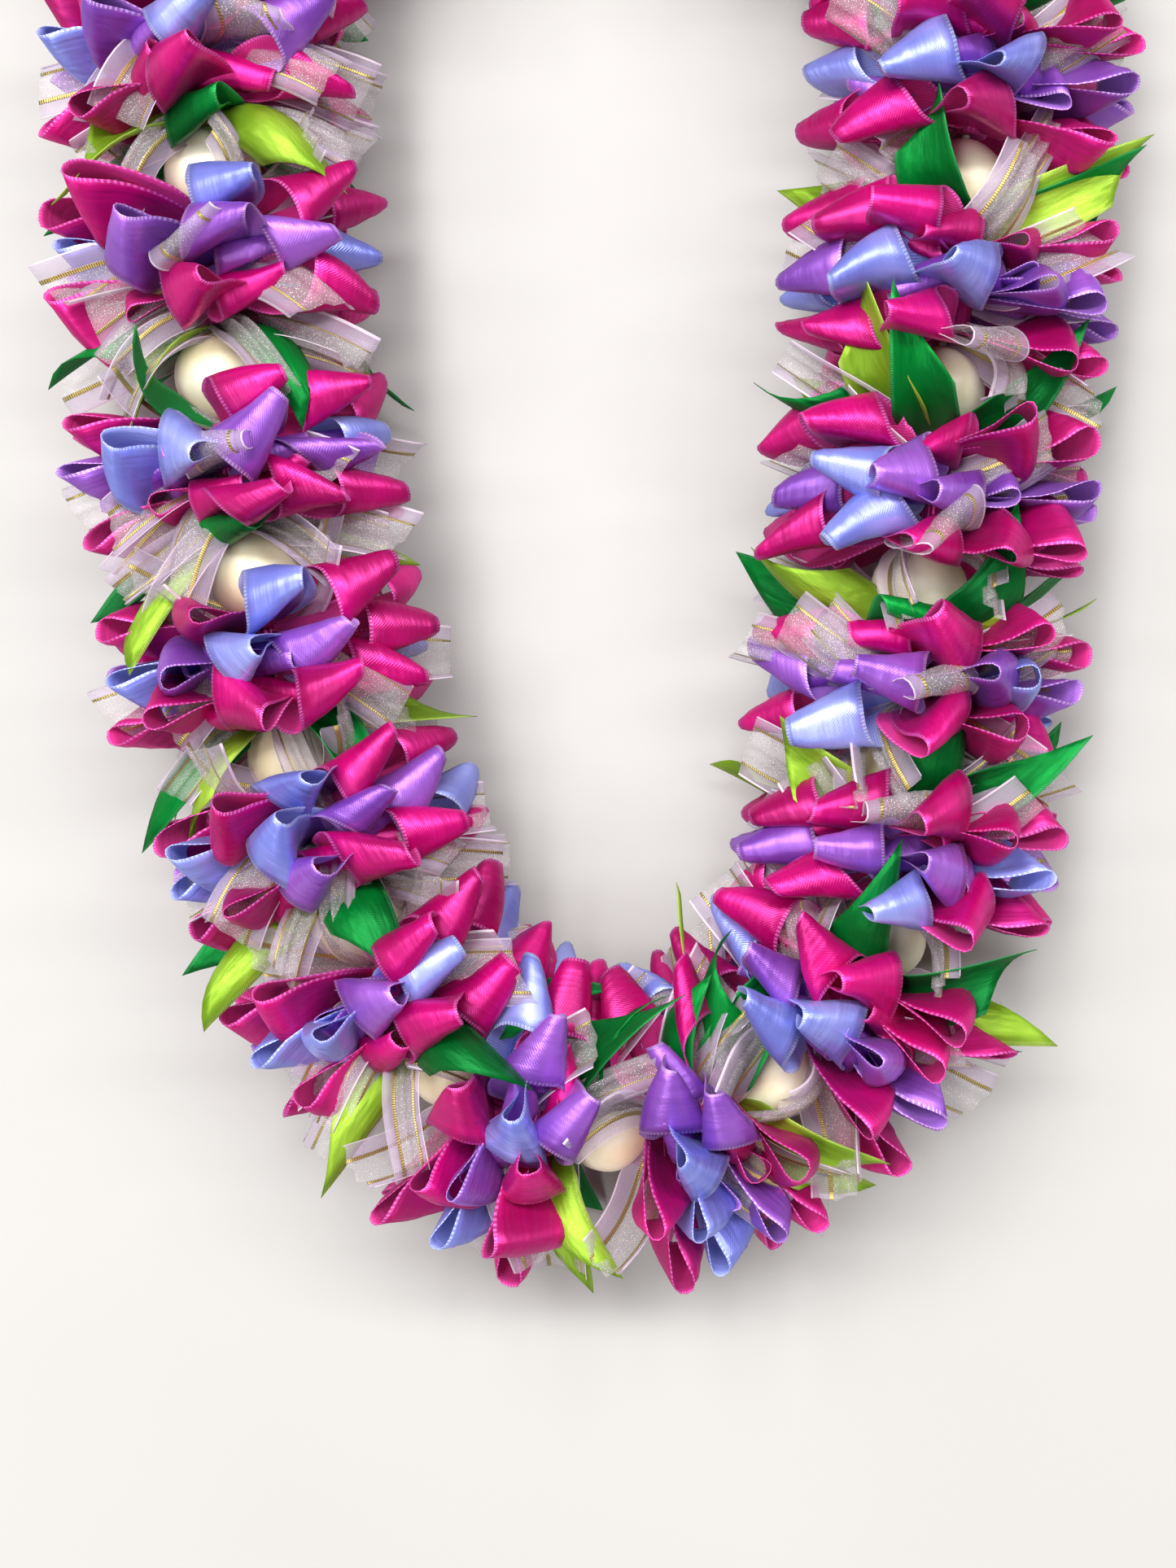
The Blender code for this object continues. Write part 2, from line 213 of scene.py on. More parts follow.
class Finish:
    """A material whose nodes are added step by step."""

    def __init__(self, name, **values):
        self.material = bpy.data.materials.new(name)
        self.material.use_nodes = True
        self.nodes = self.material.node_tree.nodes
        self.links = self.material.node_tree.links
        self.shader = self.nodes["Principled BSDF"]
        for socket, value in values.items():
            self.shader.inputs[socket.replace("_", " ")].default_value = value

    def put(self, value, socket):
        if isinstance(value, bpy.types.NodeSocket):
            self.links.new(value, socket)
        else:
            socket.default_value = value

    def math(self, operation, *values, clamp=False):
        node = self.nodes.new("ShaderNodeMath")
        node.operation = operation
        node.use_clamp = clamp
        for value, socket in zip(values, node.inputs):
            self.put(value, socket)
        return node.outputs[0]

    def ramp(self, value, low, high, start=0.0, end=1.0):
        node = self.nodes.new("ShaderNodeMapRange")
        node.interpolation_type = "SMOOTHSTEP"
        for number, socket in zip((value, low, high, start, end), node.inputs):
            self.put(number, socket)
        return node.outputs[0]

    def mix(self, share, first, second):
        node = self.nodes.new("ShaderNodeMix")
        node.data_type = "RGBA"
        self.put(share, node.inputs["Factor"])
        for value, socket in zip((first, second), node.inputs[6:8]):
            self.put(value if isinstance(value, bpy.types.NodeSocket) else (*value, 1.0), socket)
        return node.outputs[2]

    def uv(self):
        node = self.nodes.new("ShaderNodeUVMap")
        node.uv_map = "ribbon"
        split = self.nodes.new("ShaderNodeSeparateXYZ")
        self.links.new(node.outputs[0], split.inputs[0])
        return node.outputs[0], split.outputs[0], split.outputs[1]

    def noise(self, scale, detail=2.0, vector=None, stretch=(1.0, 1.0, 1.0)):
        if vector is None:
            vector = self.nodes.new("ShaderNodeTexCoord").outputs["Object"]
        mapping = self.nodes.new("ShaderNodeMapping")
        mapping.inputs["Scale"].default_value = stretch
        self.links.new(vector, mapping.inputs["Vector"])
        node = self.nodes.new("ShaderNodeTexNoise")
        node.inputs["Scale"].default_value = scale
        node.inputs["Detail"].default_value = detail
        self.links.new(mapping.outputs[0], node.inputs["Vector"])
        return node.outputs["Fac"]

    def bump(self, height, distance, strength=1.0):
        node = self.nodes.new("ShaderNodeBump")
        node.inputs["Distance"].default_value = distance
        node.inputs["Strength"].default_value = strength
        self.links.new(height, node.inputs["Height"])
        self.links.new(node.outputs[0], self.shader.inputs["Normal"])

    def use(self, **sockets):
        for socket, value in sockets.items():
            self.put(value, self.shader.inputs[socket.replace("_", " ")])
        return self.material


def rgb(red, green, blue):
    """A colour given as on a screen, 0 to 255, in the linear light that the shader works in."""
    def linear(value):
        value /= 255.0
        return value / 12.92 if value <= 0.04045 else ((value + 0.055) / 1.055) ** 2.4
    return linear(red), linear(green), linear(blue)


# %% [markdown]
# ## The floor's finish
# The floor only carries the garland and its shadow. It is a flat round sheet that ends where the lights
# grow weak, so it is pale up to its edge, and a trace of mottling keeps it from being one dead colour.

# %% The floor
FLOOR_RADIUS = 2.3


def add_floor():
    bm = bmesh.new()
    bmesh.ops.create_circle(bm, cap_ends=True, segments=96, radius=FLOOR_RADIUS)
    data = bpy.data.meshes.new("floor")
    bm.to_mesh(data)
    bm.free()
    floor = bpy.data.objects.new("floor", data)
    scene.collection.objects.link(floor)
    finish = Finish("pale floor", Roughness=0.75)
    shade = finish.mix(finish.noise(6.0), rgb(180, 178, 175), rgb(188, 186, 183))
    data.materials.append(finish.use(Base_Color=shade))
    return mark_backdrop(floor)


add_floor()

# %% [markdown]
# ## Satin
# Satin is woven so that long smooth threads lie on its face. Light runs along a fold as a bright streak
# and leaves the rest deep in colour, so the shader is anisotropic and turned a quarter. Fine diagonal
# lines show the weave, more on the duller back, and soft creases break up the streaks. The back is mixed
# a little towards the pale tint and glows faintly in that colour: painted light that stands in for the
# light coming through the cloth into the shaded insides of the loops. Both edges carry a woven selvedge
# with small pale stitches. The ribbon is 22 mm wide, and a loop takes about 100 mm.

# %% Satin finishes
RIBBON_LENGTH = 100.0
RIBBON_WIDTH = 22.0
TWILL = 0.9
TICK = 1.2
SELVEDGE = 0.9
EDGE_SOFT = 0.012
CREASES = 9.0


def satin(name, deep, body, pale, back=False):
    finish = Finish(
        name,
        Metallic=0.10 if back else 0.35,
        IOR=1.45 if back else 1.70,
        Roughness=0.50 if back else 0.38,
        Anisotropic=0.0 if back else 0.8,
        Anisotropic_Rotation=0.25,
        Sheen_Weight=0.04,
        Sheen_Roughness=0.45,
        Sheen_Tint=(*pale, 1.0),
        Specular_Tint=(*pale, 1.0),
        Specular_IOR_Level=0.3 if back else 1.0,
        Emission_Strength=0.07 if back else 0.0,
    )
    vector, along, across = finish.uv()
    slant = finish.math("MULTIPLY", across, RIBBON_WIDTH)
    slant = finish.math("ADD", slant, finish.math("MULTIPLY", along, RIBBON_LENGTH))
    twill = finish.math("SINE", finish.math("MULTIPLY", slant, math.tau / TWILL))
    tick = finish.math("SINE", finish.math("MULTIPLY", along, math.tau * RIBBON_LENGTH / TICK))
    middle = finish.math("ABSOLUTE", finish.math("SUBTRACT", across, 0.5))
    edge_from = 0.5 - SELVEDGE / RIBBON_WIDTH
    edge = finish.ramp(middle, edge_from - EDGE_SOFT, edge_from + EDGE_SOFT)
    stitch = finish.math("MULTIPLY", edge, finish.ramp(tick, -0.2, 0.5))
    cloud = finish.noise(38.0)
    threads = finish.noise(3.0, 3.0, vector, (1.5, 40.0, 1.0))
    tone = finish.mix(finish.ramp(cloud, 0.35, 0.7), deep, body)
    tone = finish.mix(finish.ramp(threads, 0.5, 0.8, 0.0, 0.07), tone, pale)
    tone = finish.mix(finish.math("MULTIPLY", edge, 0.12), tone, pale)
    tone = finish.mix(finish.math("MULTIPLY", stitch, 0.5), tone, pale)
    # Painted light on the back: its colour is mixed 14% towards the pale tint and also sent to the
    # emission, a faint glow in place of light through the cloth.
    if back:
        tone = finish.mix(0.14, tone, pale)
        finish.put(tone, finish.shader.inputs["Emission Color"])
    tone = finish.mix(finish.ramp(twill, -0.6, 0.9, 0.0, 0.3 if back else 0.12), tone, deep)
    creases = finish.noise(2.0, 1.5, vector, (3.0, 4.0, 1.0))
    height = finish.math("MULTIPLY", twill, 0.8 if back else 0.2)
    height = finish.math("ADD", height, stitch)
    height = finish.math("ADD", height, finish.math("MULTIPLY", creases, CREASES))
    finish.bump(height, 0.06 * MM)
    if not back:
        tangent = finish.nodes.new("ShaderNodeTangent")
        tangent.direction_type = "UV_MAP"
        tangent.uv_map = "ribbon"
        finish.put(tangent.outputs[0], finish.shader.inputs["Tangent"])
    return finish.use(Base_Color=tone)


SATINS = {
    "magenta": (rgb(164, 0, 84), rgb(212, 0, 118), rgb(255, 140, 232)),
    "purple": (rgb(118, 58, 170), rgb(162, 96, 208), rgb(242, 204, 250)),
    "periwinkle": (rgb(112, 120, 212), rgb(156, 163, 238), rgb(226, 238, 255)),
    "green": (rgb(0, 88, 32), rgb(0, 128, 46), rgb(80, 180, 110)),
    "lime": (rgb(108, 148, 24), rgb(146, 184, 52), rgb(206, 230, 124)),
}
finishes = {}
for colour, tones in SATINS.items():
    finishes[colour] = [
        satin(f"{colour} satin", *tones),
        satin(f"{colour} satin back", *tones, back=True),
    ]
print("satin colours:", ", ".join(finishes))

# %% [markdown]
# ## Organza
# Organza is a sheer ribbon, here about 25 mm wide. A flat edge band of lavender lies outside a thin gold
# braid, and between the two braids the net is almost clear and full of silver specks. The bands, the
# braid and the net are masks across the ribbon, and one alpha value lets the colours behind show through.

# %% Organza finish
ORGANZA_WIDTH = 25.0
BRAID_AT = 5.0
BRAID_WIDTH = 1.1
PLAITS = 70.0


def organza():
    finish = Finish(
        "sheer organza", Roughness=0.35, Sheen_Weight=0.4, Sheen_Roughness=0.4, IOR=1.45
    )
    vector, along, across = finish.uv()
    inward = finish.math("SUBTRACT", 0.5, finish.math("ABSOLUTE", finish.math("SUBTRACT", across, 0.5)))
    inward = finish.math("MULTIPLY", inward, ORGANZA_WIDTH)
    from_braid = finish.math("ABSOLUTE", finish.math("SUBTRACT", inward, BRAID_AT))
    braid = finish.ramp(from_braid, BRAID_WIDTH * 0.35, BRAID_WIDTH * 0.6, 1.0, 0.0)
    net = finish.ramp(inward, BRAID_AT, BRAID_AT + 0.6)
    hem = finish.ramp(inward, 0.35, 0.7, 1.0, 0.0)
    plait = finish.math("SINE", finish.math("MULTIPLY", along, math.tau * PLAITS))
    sparks = finish.noise(60.0, 1.0, vector, (4.0, 1.0, 1.0))
    spark = finish.math("MULTIPLY", finish.ramp(sparks, 0.66, 0.70), net)
    weave = finish.noise(220.0, 1.0, vector, (4.0, 1.0, 1.0))
    tone = finish.mix(net, rgb(196, 172, 202), rgb(214, 200, 206))
    tone = finish.mix(finish.ramp(weave, 0.45, 0.65, 0.0, 0.5), tone, rgb(238, 230, 234))
    gold = finish.mix(finish.ramp(plait, -0.2, 0.2), rgb(128, 108, 58), rgb(216, 196, 120))
    tone = finish.mix(braid, tone, gold)
    tone = finish.mix(hem, tone, rgb(226, 206, 222))
    tone = finish.mix(spark, tone, rgb(255, 255, 255))
    solid = finish.math("MAXIMUM", finish.math("MAXIMUM", braid, spark), finish.math("MULTIPLY", hem, 0.8))
    alpha = finish.math("MAXIMUM", solid, finish.ramp(net, 0.0, 1.0, 0.28, 0.15))
    finish.bump(finish.math("ADD", weave, finish.math("MULTIPLY", braid, 3.0)), 0.05 * MM)
    return finish.use(Base_Color=tone, Alpha=alpha, Metallic=finish.math("MULTIPLY", braid, 0.7))


finishes["organza"] = [organza()]
print("finishes for", len(finishes), "ribbons")

# %% [markdown]
# ## Nut and cord finishes
# The nuts are polished and lacquered to a pearly ivory, with a faint cloudy mottle, a fine grain and a few
# soft pits. The cord is a thin twisted thread that shows only in the gaps.

# %% Nut and cord finishes


def pearly_nut():
    finish = Finish(
        "pearly nut", Roughness=0.38, Coat_Weight=0.2, Coat_Roughness=0.3, Sheen_Weight=0.15,
    )
    cloud = finish.noise(55.0, 4.0)
    grain = finish.noise(330.0, 3.0)
    tone = finish.mix(finish.ramp(cloud, 0.35, 0.7), rgb(240, 226, 184), rgb(253, 248, 228))
    tone = finish.mix(finish.ramp(grain, 0.55, 0.8, 0.0, 0.3), tone, rgb(252, 248, 232))
    finish.bump(finish.math("ADD", cloud, finish.math("MULTIPLY", grain, 0.25)), 0.5 * MM, 0.6)
    return finish.use(Base_Color=tone)


def cord_thread():
    finish = Finish("cord thread", Roughness=0.7, Sheen_Weight=0.3)
    twist = finish.noise(900.0, 2.0)
    tone = finish.mix(twist, rgb(198, 188, 168), rgb(232, 226, 212))
    finish.bump(twist, 0.1 * MM)
    return finish.use(Base_Color=tone)


finishes["nut"] = [pearly_nut()]
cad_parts["cord"].data.materials.clear()
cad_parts["cord"].data.materials.append(cord_thread())
print("the cord keeps its CAD shape")

# %% [markdown]
# ## A piece
# A piece is one mesh of one ribbon colour between two nuts. All the loops of that colour are built in it,
# it stands for the CAD node that holds them, and it rides on the one body of the garland. Ribbon has
# a thickness, so a Solidify modifier gives the strips their wall and puts the duller back on the inside.

# %% Pieces
RIBBON_THICK = 0.22 * MM


class Piece:
    """The mesh of one colour for one CAD node, while it is being built."""

    def __init__(self, name, kind, *nodes):
        self.name, self.kind, self.nodes = name, kind, nodes
        self.bm = bmesh.new()
        self.bm.loops.layers.uv.new("ribbon")
        self.cuts = 0

    def strip(self, along, across):
        """A flat strip. Each one is cut further along the roll, so no two have the same creases."""
        made = bmesh.ops.create_grid(
            self.bm, x_segments=along, y_segments=across, size=0.5, calc_uvs=True
        )
        uv = self.bm.loops.layers.uv["ribbon"]
        for vert in made["verts"]:
            for corner in vert.link_loops:
                corner[uv].uv.x += self.cuts
        self.cuts += 1
        return made["verts"]

    def done(self, wall):
        for face in self.bm.faces:
            face.smooth = True
        data = bpy.data.meshes.new(self.name)
        self.bm.to_mesh(data)
        self.bm.free()
        piece = bpy.data.objects.new(self.name, data)
        scene.collection.objects.link(piece)
        for material in finishes[self.kind]:
            data.materials.append(material)
        if wall:
            solid = piece.modifiers.new("ribbon", "SOLIDIFY")
            solid.thickness = RIBBON_THICK
            solid.offset = -1.0
            solid.material_offset = len(finishes[self.kind]) - 1
        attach(piece, "root")
        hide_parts(*self.nodes)
        return piece


# %% [markdown]
# ## On the floor
# Loops that point down can't pass through the table. They are pressed flat where they meet it: below
# a few millimetres the height is squeezed towards the floor and never reaches it, so layers stay
# one above the other.

# %% Pressed on the floor
FLOOR_GAP = 0.5 * MM
PRESS_FROM = 7.0 * MM


def press_on_floor(verts):
    for vert in verts:
        if vert.co.z < PRESS_FROM:
            room = PRESS_FROM - FLOOR_GAP
            vert.co.z = FLOOR_GAP + room * math.exp((vert.co.z - PRESS_FROM) / room)


# %% [markdown]
# ## A ribbon loop
# A gathered ribbon makes loops. Each loop leaves the cord, turns and comes back, and its two edges don't
# turn alike: one edge is drawn tight and closes to a small round mouth, and the other springs open, so
# the loop reads as a cone. All loops of the garland are rolled the same way round. A loop starts as
# a flat grid and a formula bends it. Along the strip runs a teardrop, whose bulb sits near the tip at
# the tight edge and spreads at the wide one. The reach is what the ribbon's length leaves after the
# turn, so the middle of the strip keeps the ribbon's length within a few parts in a hundred, and only
# the tight edge is drawn out. The tip nods towards the wide edge, as it must on a cone, and small
# random amounts sway it, skew it and part its legs, because no two loops are tied alike.

# %% A ribbon loop
LOOP_STEPS = 32
LOOP_ROWS = 6
ROOT_SHARE = 0.3
LEG_GAP = 0.3 * MM


def smooth(value, low, high):
    share = min(max((value - low) / (high - low), 0.0), 1.0)
    return share * share * (3.0 - 2.0 * share)


def bulb_width(sharp):
    """The widest half of the teardrop sin(t) * sin(t / 2) ** sharp."""
    return 2 * math.sqrt(sharp + 1) / (sharp + 2) * ((sharp + 1) / (sharp + 2)) ** (sharp / 2)


class Loop:
    """The sizes of one loop. place() bends a point of the flat strip, whose edge v = 1 is the tight one."""

    def __init__(self, dice, length, width, twist, nod, wide):
        self.length = length * MM * dice.uniform(0.93, 1.04)
        self.width = width * MM
        self.tight = min(dice.uniform(1.2, 3.1), wide / 2) * MM
        self.wide = wide * MM * dice.uniform(0.84, 1.18)
        self.lip = dice.uniform(0.2, 1.1) * MM
        self.twist = math.radians(twist)
        self.nod = -math.radians(nod)
        self.sway = dice.uniform(-3.0, 3.0) * MM
        self.skew = dice.uniform(-5.0, 5.0) * MM
        self.cross = dice.uniform(-3.5, 3.5) * MM
        self.crown = dice.uniform(0.3, 1.4) * MM
        self.seed = Vector((dice.uniform(0, 90), dice.uniform(0, 90), dice.uniform(0, 90)))

    def place(self, u, v):
        to_tight = (1.0 + v) / 2.0
        half = self.tight + (self.wide - self.tight) * (1.0 - to_tight) ** 0.8
        half += self.lip * smooth(to_tight, 0.65, 1.0)
        sharp = 1.6 + 15.0 * to_tight**1.5
        turn = math.tau * u
        out = (1.0 - math.cos(turn)) / 2.0
        reach = (self.length / 2 - 0.57 * half) * out + self.crown * (1.0 - v * v) * out**4
        bulb = math.sin(turn) * math.sin(turn / 2) ** sharp / bulb_width(sharp)
        gape = -half * bulb - LEG_GAP * math.cos(turn / 2)
        pinch = ROOT_SHARE + (1.0 - ROOT_SHARE) * smooth(out, 0.0, 0.55)
        across = v * self.width / 2 * pinch + self.cross * math.sin(turn) * pinch
        pleat = math.sin(v * math.tau * 1.5) * 0.8 * MM * (1.0 - out) ** 2
        nod = self.nod
        slide = self.length / 2 * (nod * out**3 / 3 - nod**3 * out**7 / 42)
        drawn = (0.15 + 0.45 * (1.0 - to_tight)) * (self.wide - self.tight) * smooth(out, 0.5, 1.0)
        x, y = gape + pleat, slide + drawn + across * math.cos(nod * out**2)
        z = reach * (1.0 - nod**2 * out**4 / 10) - across * math.sin(nod * out**2)
        cos, sin = math.cos(self.twist * out), math.sin(self.twist * out)
        x, y = x * cos - y * sin, x * sin + y * cos
        spot = Vector((x + (self.sway + self.skew * v) * out**2, y, z))
        dent = noise.noise_vector(spot * 34.0 + self.seed) * 1.6 + noise.noise_vector(spot * 95.0) * 0.5
        return spot + dent * MM * out


def add_loop(piece, loop, seat):
    verts = piece.strip(LOOP_STEPS, LOOP_ROWS)
    for vert in verts:
        vert.co = loop.place(vert.co.x + 0.5, vert.co.y * 2.0)
    bmesh.ops.transform(piece.bm, matrix=seat, verts=verts)
    press_on_floor(verts)


# %% [markdown]
# ## A ribbon leaf
# Leaves are single lengths of ribbon with a cut end. One end is caught in the gathering. The strip rises
# from it, bends over at a knee and leans on the next nut. It is cupped across its width, and its end is
# cut aslant, which leaves a sharp tip. Sheer tails are pleated instead: the cloth keeps its width, so
# what the gathering takes from it goes into the depth of the pleats.

# %% A ribbon leaf
LEAF_STEPS = 14
LEAF_ROWS = 6
FAN_ROWS = 12
SPINE = np.linspace(0.0, 1.0, 41)


class Leaf:
    """The sizes of one leaf. place() bends a point of the flat strip."""

    def __init__(self, dice, length, width, bend, slant=(0.3, 0.6), pleats=0, spread=(1.0, 1.0)):
        self.length = length * MM * dice.uniform(0.88, 1.12)
        self.width = width * MM
        self.pleats = pleats
        self.root = 0.42 if pleats else ROOT_SHARE
        self.spread = dice.uniform(*spread)
        self.point = 0.0 if pleats else dice.uniform(0.25, 0.55)
        self.cup = dice.choice((-1.0, 1.0)) * dice.uniform(0.4, 1.1)
        self.twist = math.radians(dice.uniform(-30.0, 30.0))
        self.slant = dice.choice((-1.0, 1.0)) * dice.uniform(*slant)
        self.seed = Vector((dice.uniform(0, 90), dice.uniform(0, 90), dice.uniform(0, 90)))
        lean, bend, knee = dice.uniform(-4, 12), dice.uniform(*bend), dice.uniform(0.46, 0.62)
        turns = [smooth(u, knee - 0.35, knee + 0.35) for u in SPINE]
        self.heading = np.radians(lean + bend * np.array(turns))
        step = self.length / (len(SPINE) - 1)
        self.ahead = np.cumsum(np.sin(self.heading)) * step
        self.rise = np.cumsum(np.cos(self.heading)) * step

    def place(self, u, v):
        u *= 1.0 - abs(self.slant) / 2 + self.slant / 2 * v
        here, x, z = (np.interp(u, SPINE, line) for line in (self.heading, self.ahead, self.rise))
        pinch = self.root + (self.spread - self.root) * smooth(u, 0.0, 0.36)
        y = v * self.width / 2 * pinch * (1.0 - 0.12 * abs(self.cup)) * (1.0 - self.point * u**3)
        lift = self.cup * self.width / 2 * (v * v - 0.4) * smooth(u, 0.0, 0.4) * 0.6
        if self.pleats:
            depth = self.width * math.sqrt(1.0 - pinch**2) / (4.0 * self.pleats)
            lift += depth * math.sin(v * math.pi * self.pleats)
        cos, sin = math.cos(self.twist * u), math.sin(self.twist * u)
        y, lift = y * cos - lift * sin, y * sin + lift * cos
        spot = Vector((x + lift * math.cos(here), y, z - lift * math.sin(here)))
        return spot + noise.noise_vector(spot * 30.0 + self.seed) * 2.2 * MM * u


def add_leaf(piece, leaf, seat):
    verts = piece.strip(LEAF_STEPS, FAN_ROWS if leaf.pleats else LEAF_ROWS)
    for vert in verts:
        vert.co = leaf.place(vert.co.x + 0.5, vert.co.y * 2.0)
    bmesh.ops.transform(piece.bm, matrix=seat, verts=verts)
    press_on_floor(verts)


# %% [markdown]
# ## The gathers
# At the cord all the ribbons of a bloom are bunched to a tight pleated sleeve. It is a lathe shape: a
# profile is spun round the cord's direction, and then its radius is made to wave for the pleats.

# %% The gathers
SLEEVE_RADIUS = 7.0 * MM
SLEEVE_BORE = 2.0 * MM
SLEEVE_TURNS = 66
PLEATS = 22


def add_sleeve(piece, start, end):
    bm = piece.bm
    rows = [(0.0, SLEEVE_BORE), (0.0, SLEEVE_RADIUS * 0.8), (0.12, SLEEVE_RADIUS), (0.5, SLEEVE_RADIUS),
            (0.88, SLEEVE_RADIUS), (1.0, SLEEVE_RADIUS * 0.8), (1.0, SLEEVE_BORE)]
    spots = [bm.verts.new((share, 0.0, radius)) for share, radius in rows]
    edges = [bm.edges.new(pair) for pair in zip(spots, spots[1:] + spots[:1])]
    bmesh.ops.spin(bm, geom=spots + edges, cent=(0, 0, 0), axis=(1, 0, 0), angle=math.tau,
                   steps=SLEEVE_TURNS, use_merge=True)
    bmesh.ops.remove_doubles(bm, verts=bm.verts, dist=0.001 * MM)
    for vert in bm.verts:
        share, side, rise = vert.co
        angle = math.atan2(side, rise)
        radius = math.hypot(side, rise)
        if radius > SLEEVE_BORE * 1.5:
            radius *= 1.0 + 0.10 * math.cos(PLEATS * angle)
        vert.co = strand.turned(start + (end - start) * share, angle) @ Vector((0.0, 0.0, radius))
    bmesh.ops.recalc_face_normals(bm, faces=bm.faces)


# %% [markdown]
# ## A nut
# A candlenut is a rounded body with soft lobes, a little taller than it is long, and drilled from end to
# end. A half profile, a little too small, is spun round the bore, and a formula then adds the lobes and
# the lumps that make no two nuts alike.

# %% A nut
NUT_LENGTH = 28.0 * MM
NUT_WIDTH = 30.0 * MM
NUT_BORE = 2.8 * MM
NUT_TURNS = 44
NUT_ROWS = 18
NUT_LOBES = 5
LENGTH_LEFT, WIDTH_LEFT = 0.945, 0.97


def add_nut(piece, index, dice):
    bm = piece.bm
    half_length, half_width = NUT_LENGTH / 2, NUT_WIDTH / 2
    start = math.asin(NUT_BORE / half_width)
    spots = []
    for row in range(NUT_ROWS + 1):
        turn = start + (math.pi - 2 * start) * row / NUT_ROWS
        flat = 1.0 + 0.06 * math.cos(2 * turn) ** 2
        along = -math.cos(turn) * half_length * flat * LENGTH_LEFT
        spots.append(bm.verts.new((along, 0.0, math.sin(turn) * half_width * WIDTH_LEFT)))
    edges = [bm.edges.new(pair) for pair in zip(spots, spots[1:] + spots[:1])]
    bmesh.ops.spin(bm, geom=spots + edges, cent=(0, 0, 0), axis=(1, 0, 0), angle=math.tau,
                   steps=NUT_TURNS, use_merge=True)
    bmesh.ops.remove_doubles(bm, verts=bm.verts, dist=0.001 * MM)
    seed = Vector((dice.uniform(0, 50), dice.uniform(0, 50), dice.uniform(0, 50)))
    phase = dice.uniform(0, math.tau)
    for vert in bm.verts:
        angle = math.atan2(vert.co.y, vert.co.z)
        far = smooth(math.hypot(vert.co.y, vert.co.z), NUT_BORE, half_width)
        lump = 0.022 * math.cos(NUT_LOBES * angle + phase) + 0.05 * noise.noise(vert.co * 90.0 + seed)
        vert.co *= 1.0 + lump * far
    bmesh.ops.recalc_face_normals(bm, faces=bm.faces)
    bmesh.ops.transform(bm, matrix=strand.turned(strand.nuts[index], 0.0), verts=bm.verts)


for index in range(NUTS):
    dice = random.Random(700 + index)
    name = f"nut_{index:02d}"
    piece = Piece(f"polished_{name}", "nut", name)
    add_nut(piece, index, dice)
    piece.done(wall=False)
print("nuts made:", NUTS)

# %% [markdown]
# ## The planting plan
# Real garlands are never quite regular, so the loops are not placed by one rule. Each line below is one
# bloom. It lists three rings and the leaves beside the next nut, each entry being a letter for the
# ribbon and its angle round the cord, in degrees: m magenta, u purple, w periwinkle, o organza loop,
# t pleated organza tail, g green leaf, l lime leaf, k and j short green and lime loops. Rules fill the
# side that lies on the table, close wide gaps with short loops and tails, and add tails at both sides.
# Tails are kept narrow in front of the nuts, so that these show between the blooms.

